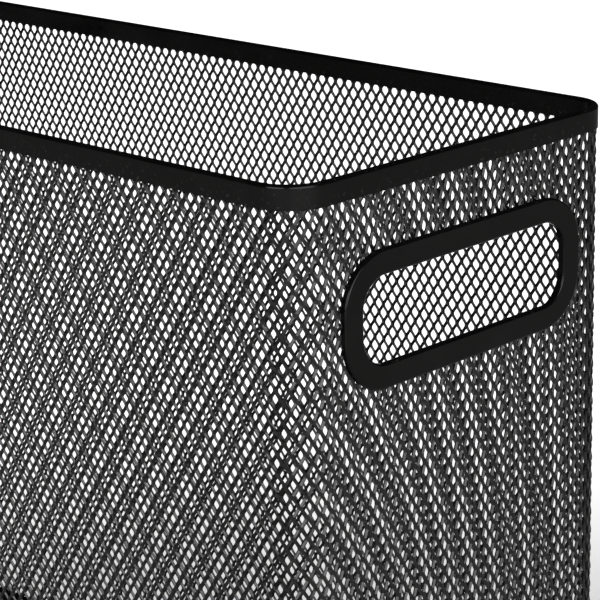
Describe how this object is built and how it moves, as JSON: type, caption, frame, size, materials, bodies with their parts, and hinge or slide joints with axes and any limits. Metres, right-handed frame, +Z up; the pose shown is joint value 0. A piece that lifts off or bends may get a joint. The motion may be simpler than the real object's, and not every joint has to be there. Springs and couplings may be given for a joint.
{
  "type": "magazine file holder",
  "caption": "Open-top rectangular box of black expanded steel mesh with folded steel bands and an oval hand hold in each end wall.",
  "frame": {"origin": "on the resting plane, under the middle of the box", "axes": "+X along the length, towards an end wall with a hand hold; +Y across the width; +Z up"},
  "size_m": [0.3394, 0.143, 0.266],
  "materials": {
    "mesh_paint": "satin black paint",
    "band_paint": "smooth semi-gloss black paint",
    "handle_paint": "smooth semi-gloss black paint",
    "tray_paint": "satin black powder coat",
    "foot_rubber": "matt"
  },
  "bodies": {
    "root": {"mesh_wrap": "mesh_paint", "seam_strip": "band_paint", "rim_band": "band_paint", "bottom_band": "band_paint", "base_tray": "tray_paint", "handle_outer_right": "handle_paint", "handle_outer_left": "handle_paint", "handle_inner_right": "handle_paint", "handle_inner_left": "handle_paint", "foot_front_right": "foot_rubber", "foot_front_left": "foot_rubber", "foot_rear_right": "foot_rubber", "foot_rear_left": "foot_rubber"}
  },
  "joints": []
}
